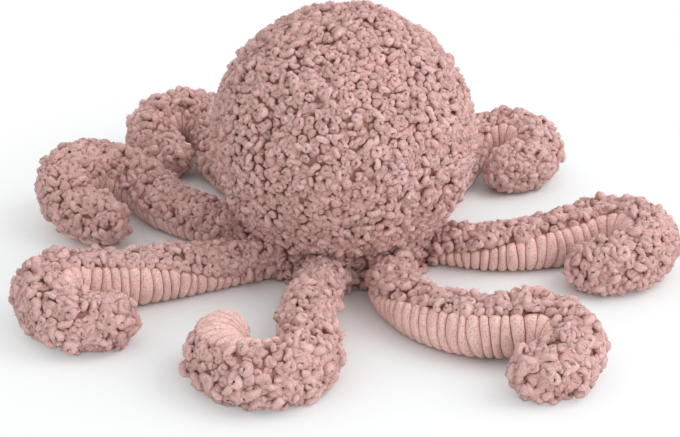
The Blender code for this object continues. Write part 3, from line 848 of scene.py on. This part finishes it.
def make_rib_material(speckle, dye):
    """Corduroy: painted shade deepening the grooves between its ribs, and a fine cut pile with painted shade
    in the gaps between its tufts.
    """
    material, tree, shader = start_material("corduroy", 0.9, 0.3, RIB_SHEEN)
    place = object_place(tree)
    base = place_group(tree, dye, Pale=RIB_PALE, Deep=RIB_DEEP, Place=place, Patches=26.0)["Colour"]
    crest = read_attribute(tree, "rib_crest", "Fac")
    # Painted shade: darker in the grooves between the ribs, the crests left in the cloth's colour
    groove_shade = map_share(tree, crest, (0.0, GROOVE_SHADE_WIDTH_SHARE), (GROOVE_SHADE_SHARE, 0.0))
    groove_shaded = mix_colours(tree, groove_shade, base, RIB_GROOVE_SHADE)
    cut = place_group(tree, speckle, Colour=groove_shaded, Place=place, Fineness=850.0, Contrast=0.60)
    # Painted shade in the small gaps between the tufts of the cut pile
    tufts = add_node(tree, "ShaderNodeTexVoronoi", {"Vector": place, "Scale": 640.0, "Randomness": 0.6})
    filled = map_share(tree, tufts.outputs["Distance"], TUFT_EDGES, (0.0, 1.0))
    tuft_gap_shade = mix_colours(tree, TUFT_GAP_SHADE_SHARE, cut["Colour"], RIB_GROOVE_SHADE)
    colour = mix_colours(tree, filled, tuft_gap_shade, cut["Colour"])
    height = calculate(tree, "ADD", cut["Height"], calculate(tree, "MULTIPLY", filled, 0.5))
    finish_material(tree, shader, colour, height, RIB_RELIEF)
    return material


def make_backing_material(speckle, dye):
    """Knitted cloth that the pile grows from, coloured in painted shade where it shows between the locks."""
    material, tree, shader = start_material("pile_backing", 0.95, 0.1, BACKING_SHEEN)
    place = object_place(tree)
    # Painted shade: the backing takes the dark colours of the painted root shade
    base = place_group(tree, dye, Pale=PILE_ROOT_SHADE, Deep=BACKING_SHADE, Place=place, Patches=40.0)["Colour"]
    knit = place_group(tree, speckle, Colour=base, Place=place, Fineness=1100.0, Contrast=0.3)
    finish_material(tree, shader, knit["Colour"], knit["Height"], BACKING_RELIEF)
    return material


def make_base_material(speckle, dye):
    """Fine needlecord of the base panel: narrow wales with painted shade in the grooves between them, and a
    cut pile.
    """
    material, tree, shader = start_material("base_needlecord", 0.9, 0.25, PILE_SHEEN)
    place = object_place(tree)
    base = place_group(tree, dye, Pale=RIB_PALE, Deep=RIB_DEEP, Place=place, Patches=26.0)["Colour"]
    bands = add_node(tree, "ShaderNodeTexWave", {"Vector": place, "Scale": 200.0, "Distortion": 0.3})
    wave = bands.outputs["Fac"]
    # Painted shade: the grooves between the narrow wales darkened along the wave bands
    groove_shaded = mix_colours(tree, map_share(tree, wave, (0.0, 0.5), (0.6, 0.0)), base, RIB_GROOVE_SHADE)
    cut = place_group(tree, speckle, Colour=groove_shaded, Place=place, Fineness=1500.0, Contrast=0.3)
    height = calculate(tree, "ADD", wave, calculate(tree, "MULTIPLY", cut["Height"], 0.5))
    finish_material(tree, shader, cut["Colour"], height, RIB_RELIEF)
    return material


# Pieces

def make_sleeve(arm, stretch, first_rib, last_rib, materials):
    """One stretch of an arm's stuffed sleeve: ribs on its ribbed side, bare backing under the pile."""
    grooves = GROOVES[arm.name]
    steps = np.arange(RIB_STEPS) / RIB_STEPS
    ribs = np.append(np.repeat(np.arange(first_rib, last_rib), RIB_STEPS), last_rib)
    shares = np.append(np.tile((1.0 - np.cos(math.pi * steps)) / 2, last_rib - first_rib), 0.0)
    following = np.minimum(ribs + 1, len(grooves) - 1)
    rows = grooves[ribs] + (grooves[following] - grooves[ribs]) * shares
    crest = np.append(np.tile(np.sin(math.pi * steps) ** RIB_FULLNESS, last_rib - first_rib), 0.0)
    uneven = 1.0 + RIB_UNEVEN_SHARE * chance.uniform(-1.0, 1.0, len(grooves))
    swell = uneven[ribs]

    half = math.radians(RIB_HALF_ANGLE)
    even = np.linspace(-1.0, 1.0, RIB_COLUMNS)
    ribbed = half * (0.5 * even + 0.5 * np.sin(even * math.pi / 2))
    backing = np.linspace(half, math.tau - half, BACKING_COLUMNS + 2)[1:-1]
    angles = np.concatenate((ribbed, backing))
    columns = len(angles)
    travel, angle = np.repeat(rows, columns), np.tile(angles, len(rows))
    sway = swayed(arm, np.repeat(ribs, columns), np.repeat(shares, columns), angle)
    travel = np.minimum(travel + sway, TRAVEL_LENGTH)

    step = RIB_PITCH / 4
    stretched = arm_surface(arm, travel + step, angle, 0)[0] - arm_surface(arm, travel - step, angle, 0)[0]
    gathered = np.clip(np.linalg.norm(stretched, axis=1) / (2 * step), RIB_LEAST_PINCH_SHARE, 1.0)
    pinch = gathered**RIB_PINCH_POWER
    radius = arm_sections(arm, travel).radius
    corner = RIB_END_ROUND * (1.0 - np.repeat(crest, columns))
    from_edge = np.clip(((half - np.abs(angle)) * radius - corner) / RIB_END_LENGTH, 0.0, 1.0)
    rounded = np.sqrt(1.0 - (1.0 - from_edge) ** 2)
    on_ribs = angle <= half
    rise = np.repeat(crest, columns) * rounded * on_ribs
    lift = RIB_TOP_LIFT + RIB_HEIGHT * (rise * np.repeat(swell, columns) - 1.0) * pinch
    lift = np.where(on_ribs, lift, BACKING_LIFT)
    points = arm_surface(arm, travel, angle, lift)[0]
    middles = arm_sections(arm, rows[[0, -1]]).centre
    points = rest_on_surface(np.vstack((points, middles)))

    faces = grid_faces(len(rows), columns) + end_faces(len(rows), columns)
    indices = [int(column >= RIB_COLUMNS - 1) for column in range(columns)] * (len(rows) - 1)
    indices.extend([1] * 2 * columns)
    piece = make_piece(f"{arm.name}_{stretch}_corduroy", points, faces, materials, indices)
    add_numbers(piece, "rib_crest", np.concatenate((rise, (0.0, 0.0))))
    return piece


def arm_lock_roots(arm):
    """Roots and outward directions of the locks on an arm's pile side, and their distances along it."""
    wanted = int(TRAVEL_LENGTH * CURL_THICKNESS_RADIUS * math.tau / LOCK_SPACING**2) * LOCK_TRIALS
    travel = chance.uniform(0.0, TRAVEL_LENGTH, wanted)
    radius = np.maximum(arm_sections(arm, travel).radius, LOCK_SPACING)
    edge = np.minimum(math.radians(RIB_HALF_ANGLE) + LOCK_EDGE / radius, math.pi)
    angle = edge + (math.tau - 2 * edge) * chance.uniform(0.0, 1.0, wanted)
    dip = CROWDED_PILE_DIP if arm.name in CROWDED_ARMS else 0.0
    roots, outward = arm_surface(arm, travel, angle, LOCK_ROOT_LIFT - dip)
    kept = spread_out(arm_surface(arm, travel, angle, 0)[0], LOCK_SPACING)
    return roots[kept], outward[kept], travel[kept]


def make_arm(arm, pile, ribbed, backing):
    """The arm's sleeve and pile in three stretches: round the neck, round the start of the curl, the rest."""
    curl_start = arm.straight_share * ARM_LENGTH
    shares = np.linspace(arm.straight_share, 1.0, PATH_STEPS)
    turned = np.interp(CURL_BEND_TURN, curled_angle(arm, shares), shares * ARM_LENGTH)
    middle = nearest_groove(arm, (NECK_DISTANCE + NECK_BEND_HALF + curl_start - CURL_BEND_BEFORE) / 2)
    after = nearest_groove(arm, turned)
    grooves = GROOVES[arm.name]

    roots, outward, travel = arm_lock_roots(arm)
    limits = (0, middle, after, len(grooves) - 1)
    for stretch, begin, end in zip(("neck", "bend", "curl"), limits, limits[1:]):
        sleeve = make_sleeve(arm, stretch, begin, end, [ribbed, backing])
        inside = (travel >= grooves[begin]) & (travel < grooves[end])
        locks = lock_mesh(f"{arm.name}_{stretch}_pile", roots[inside], outward[inside], pile)
        for piece in (sleeve, locks):
            if stretch == "neck":
                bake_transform(piece)
            elif stretch == "bend":
                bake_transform(piece)
            else:
                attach(piece, f"{arm.name}_curl")
        if stretch != "neck":
            part = "arm" if stretch == "bend" else "curl"
            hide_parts(f"{arm.name}_{part}_rib_strip", f"{arm.name}_{part}_filling")
            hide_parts(f"{arm.name}_{part}_pile_strip")


def near_arm(points):
    """Which points lie inside the root of an arm."""
    inside = np.zeros(len(points), bool)
    for arm in ARMS:
        at = arm_sections(arm, np.linspace(0.0, NECK_DISTANCE * 2, NECK_RINGS))
        for centre, radius in zip(at.centre, at.radius):
            inside |= np.linalg.norm(points - centre, axis=1) < radius
    return inside


def make_head(pile, backing):
    """The stuffed ball of backing cloth, drawn in at its five seams, and the pile of each gore."""
    share = np.repeat(np.linspace(0.0, 1.0, HEAD_ROWS + 1)[1:], HEAD_COLUMNS)
    angle = np.tile(np.linspace(0.0, math.tau, HEAD_COLUMNS, endpoint=False), HEAD_ROWS)
    flat = head_surface(share, angle, HEAD_SKIN_LIFT)[0]
    distance = gore_of(angle)[1] * np.hypot(flat[:, 0], flat[:, 1])
    points = head_surface(share, angle, HEAD_SKIN_LIFT - seam_dip(distance))[0]
    crown = head_surface(np.zeros(1), np.zeros(1), HEAD_SKIN_LIFT)[0]
    foot = np.array([[0.0, 0.0, BASE_THICKNESS]])
    points = rest_on_surface(np.vstack((points, crown, foot)))
    faces = grid_faces(HEAD_ROWS, HEAD_COLUMNS) + end_faces(HEAD_ROWS, HEAD_COLUMNS)
    ball = make_piece("head_backing", points, faces, [backing])
    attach(ball, "body")
    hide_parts("head_filling")

    wanted = int(4 * math.pi * HEAD_RADIUS**2 / (LOCK_SPACING * HEAD_LOCK_SHARE) ** 2) * LOCK_TRIALS
    share = chance.uniform(0.0, 1.0, wanted)
    angle = chance.uniform(0.0, math.tau, wanted)
    skin = head_surface(share, angle, HEAD_ROOT_LIFT)[0]
    reach = np.hypot(skin[:, 0], skin[:, 1])
    gore, seam = gore_of(angle)
    distance = seam * reach
    evenly = chance.uniform(0.0, 1.0, wanted) < reach / HEAD_RADIUS
    chosen = evenly & (distance > LOCK_EDGE) & ~near_arm(skin)
    share, angle, gore, distance = share[chosen], angle[chosen], gore[chosen], distance[chosen]
    roots, outward = head_surface(share, angle, HEAD_ROOT_LIFT - seam_dip(distance))
    kept = spread_out(head_surface(share, angle, 0)[0], LOCK_SPACING * HEAD_LOCK_SHARE)
    roots, outward, gore = roots[kept], outward[kept], gore[kept]
    for index, name in enumerate(GORE_NAMES):
        mine = gore == index
        locks = lock_mesh(f"head_pile_{name}", roots[mine], outward[mine], pile, HEAD_LOCK_SHARE)
        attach(locks, "body")
        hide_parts(f"head_gore_{name}")


def band_surface(turn, angle):
    """Points on the band of arm roots, by the turn round its cross-section and the angle round the toy."""
    half_width = (BAND_OUTER_RADIUS - BAND_INNER_RADIUS) / 2
    half_height = (BAND_TOP - BAND_BOTTOM) / 2
    radius = (BAND_INNER_RADIUS + BAND_OUTER_RADIUS) / 2 + half_width * np.cos(turn)
    return round_points(radius, angle, (BAND_TOP + BAND_BOTTOM) / 2 + half_height * np.sin(turn))


def make_root_band(pile, backing):
    """The band under the head that the arms are sewn into, with its own pile between them."""
    turn = np.tile(np.linspace(0.0, math.tau, BAND_ROWS, endpoint=False), BAND_COLUMNS)
    angle = np.repeat(np.linspace(0.0, math.tau, BAND_COLUMNS, endpoint=False), BAND_ROWS)
    points = band_surface(turn, angle)
    faces = grid_faces(BAND_COLUMNS, BAND_ROWS)
    last = (BAND_COLUMNS - 1) * BAND_ROWS
    for row in range(BAND_ROWS):
        following = (row + 1) % BAND_ROWS
        faces.append((last + row, last + following, following, row))
    band = make_piece("arm_root_band", points, faces, [backing])
    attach(band, "body")
    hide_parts("arm_root_ring")

    angle = chance.uniform(0.0, math.tau, BAND_LOCK_TRIALS)
    turn = chance.uniform(*BAND_LOCK_TURNS, BAND_LOCK_TRIALS)
    outward = round_points(np.cos(turn), angle, np.sin(turn))
    roots = band_surface(turn, angle)
    free = ~near_arm(roots)
    roots, outward = roots[free], outward[free]
    kept = spread_out(roots, LOCK_SPACING)
    locks = lock_mesh("arm_root_pile", roots[kept], outward[kept], pile)
    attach(locks, "body")


def make_base(cloth):
    """The flat round panel, its edge drawn up into the seam in small puckers."""
    angle = np.linspace(0.0, math.tau, BASE_COLUMNS, endpoint=False)
    pucker = PUCKER_SHARE * np.sin(angle * PUCKERS)
    rows = []
    for index, (radius, height) in enumerate(BASE_RINGS):
        reach = radius * (1.0 + pucker * (index >= FIRST_PUCKERED_RING))
        rows.append(round_points(reach, angle, np.full(BASE_COLUMNS, height)))
    points = np.vstack((*rows, [[0, 0, 0]], [[0, 0, BASE_RINGS[-1][1]]]))
    faces = grid_faces(len(BASE_RINGS), BASE_COLUMNS) + end_faces(len(BASE_RINGS), BASE_COLUMNS)
    panel = make_piece("base_panel_cloth", points, faces, [cloth])
    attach(panel, "body")
    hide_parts("base_panel")


# Studio

def make_camera():
    camera = bpy.data.objects.new("camera", bpy.data.cameras.new("camera"))
    camera.data.sensor_width = SENSOR_WIDTH
    camera.data.lens = FOCAL_PIXELS * SENSOR_WIDTH / PICTURE_WIDTH
    elevation = math.radians(VIEW_ELEVATION)
    back = Vector((0.0, -math.cos(elevation), math.sin(elevation)))
    camera.location = Vector(VIEW_AIM) + back * VIEW_DISTANCE
    camera.rotation_euler = (math.pi / 2 - elevation, 0.0, 0.0)
    bpy.context.scene.collection.objects.link(camera)
    bpy.context.scene.camera = camera


def background_share(tree):
    """1 where the camera, a reflection or a clear body looks at a backdrop, 0 where it only lights."""
    path = add_node(tree, "ShaderNodeLightPath").outputs
    seen = calculate(tree, "MAXIMUM", path["Is Camera Ray"], path["Is Glossy Ray"])
    return calculate(tree, "MAXIMUM", seen, path["Is Transmission Ray"])


def make_world():
    world = bpy.data.worlds.new("studio")
    world.use_nodes = True
    bpy.context.scene.world = world
    tree = world.node_tree
    tree.nodes.clear()
    light = add_node(tree, "ShaderNodeBackground", {"Color": WHITE, "Strength": SKY_LIGHT})
    white = add_node(tree, "ShaderNodeBackground", {"Color": WHITE, "Strength": 1.0})
    mix = add_node(tree, "ShaderNodeMixShader", {"Fac": background_share(tree)})
    tree.links.new(light.outputs["Background"], mix.inputs[1])
    tree.links.new(white.outputs["Background"], mix.inputs[2])
    add_node(tree, "ShaderNodeOutputWorld", {"Surface": mix.outputs["Shader"]})


def make_floor():
    half = FLOOR_WIDTH / 2
    corners = [(-half, -half, 0.0), (half, -half, 0.0), (half, half, 0.0), (-half, half, 0.0)]
    material = bpy.data.materials.new("floor_white")
    material.use_nodes = True
    tree = material.node_tree
    shader = tree.nodes["Principled BSDF"]
    shader.inputs["Roughness"].default_value = 1.0
    shader.inputs["Specular IOR Level"].default_value = 0.0
    length = add_node(tree, "ShaderNodeVectorMath", {0: object_place(tree)}, operation="LENGTH")
    seen = background_share(tree)
    far = map_share(tree, length.outputs["Value"], (FLOOR_NEAR_DISTANCE, FLOOR_FAR_DISTANCE), (0.0, 1.0))
    far_seen = calculate(tree, "MULTIPLY", far, seen)
    near = mix_colours(tree, seen, FLOOR_COLOUR, FLOOR_NEAR_COLOUR)
    feed(tree, shader.inputs["Base Color"], mix_colours(tree, far_seen, near, BLACK))
    feed(tree, shader.inputs["Emission Color"], mix_colours(tree, far_seen, BLACK, WHITE))
    shader.inputs["Emission Strength"].default_value = 1.0
    floor = make_piece("floor", corners, [(0, 1, 2, 3)], [material])


def make_lamps():
    for lamp in LAMPS:
        light = bpy.data.lights.new(lamp.name, "AREA")
        light.shape = "DISK"
        light.size = lamp.width
        light.energy = lamp.watts
        hung = bpy.data.objects.new(lamp.name, light)
        hung.location = lamp.place
        hung.rotation_euler = Vector(lamp.place).to_track_quat("Z", "Y").to_euler()
        bpy.context.scene.collection.objects.link(hung)


def main():
    make_camera()
    make_world()
    make_floor()
    make_lamps()
    speckle, dye = fibre_speckle_group(), dye_group()
    pile = make_pile_material(speckle, dye)
    ribbed = make_rib_material(speckle, dye)
    backing = make_backing_material(speckle, dye)
    cloth = make_base_material(speckle, dye)
    make_head(pile, backing)
    make_root_band(pile, backing)
    make_base(cloth)
    for arm in ARMS:
        make_arm(arm, pile, ribbed, backing)
    bpy.context.scene.view_settings.view_transform = "Standard"


main()
